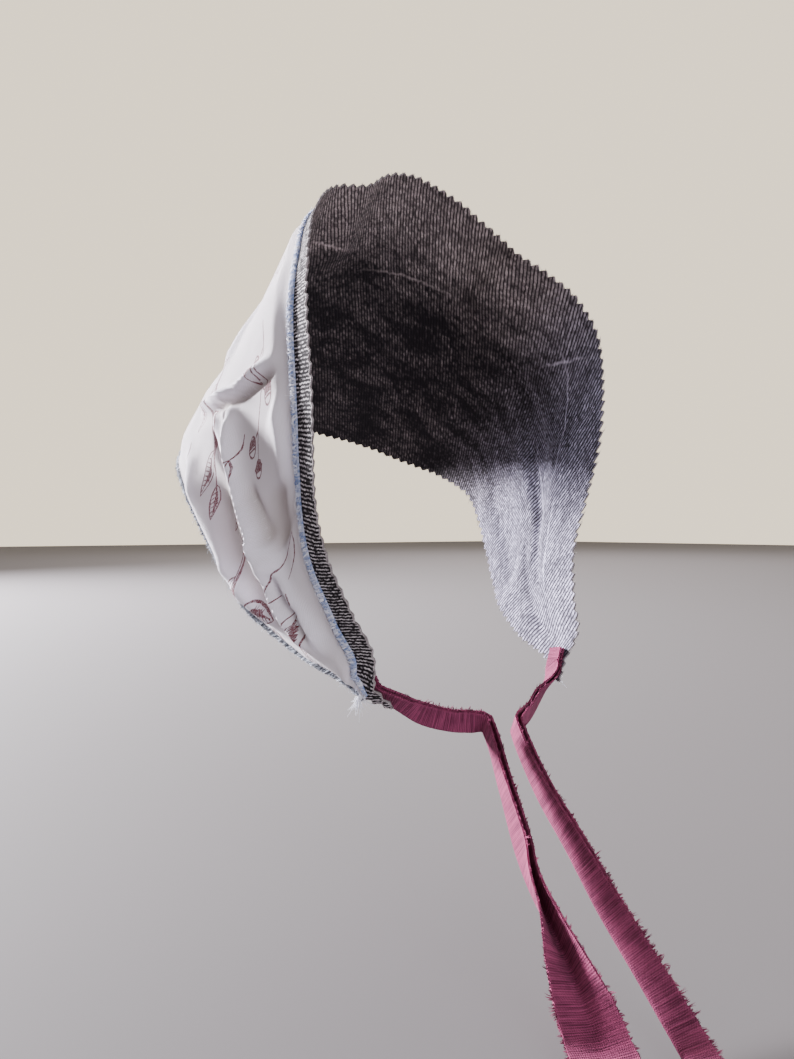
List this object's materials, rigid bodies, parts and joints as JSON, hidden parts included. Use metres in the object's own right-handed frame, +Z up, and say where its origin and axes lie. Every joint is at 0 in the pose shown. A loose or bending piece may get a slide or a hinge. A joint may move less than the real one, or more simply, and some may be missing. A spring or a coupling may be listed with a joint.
{
  "type": "poke bonnet",
  "caption": "Soft cloth bonnet arched over the head, with a pinked denim lining showing past a printed cover, and a torn cloth tie at each lower corner.",
  "frame": {"origin": "inner face of the crown at the bonnet's centre plane, where it sits on the head", "axes": "+Z up as worn; the wearer faces -Y and the wearer's right side is -X"},
  "size_m": [0.2073, 0.3574, 0.3618],
  "materials": {
    "washed_denim": "acid-washed black denim, matt",
    "printed_cotton": "off-white cotton with a line print of sprigs, matt",
    "pale_blue_thread": "overcast cotton thread, slightly fuzzy",
    "grey_blue_thread": "overcast cotton thread, fuzzy and worn",
    "burgundy_cotton": "torn plain-weave cotton with frayed edges"
  },
  "bodies": {
    "root": {"denim_lining": "washed_denim", "print_cover": "printed_cotton", "front_edging": "pale_blue_thread", "back_edging": "grey_blue_thread", "tie_right": "burgundy_cotton", "tie_left": "burgundy_cotton"}
  },
  "joints": []
}
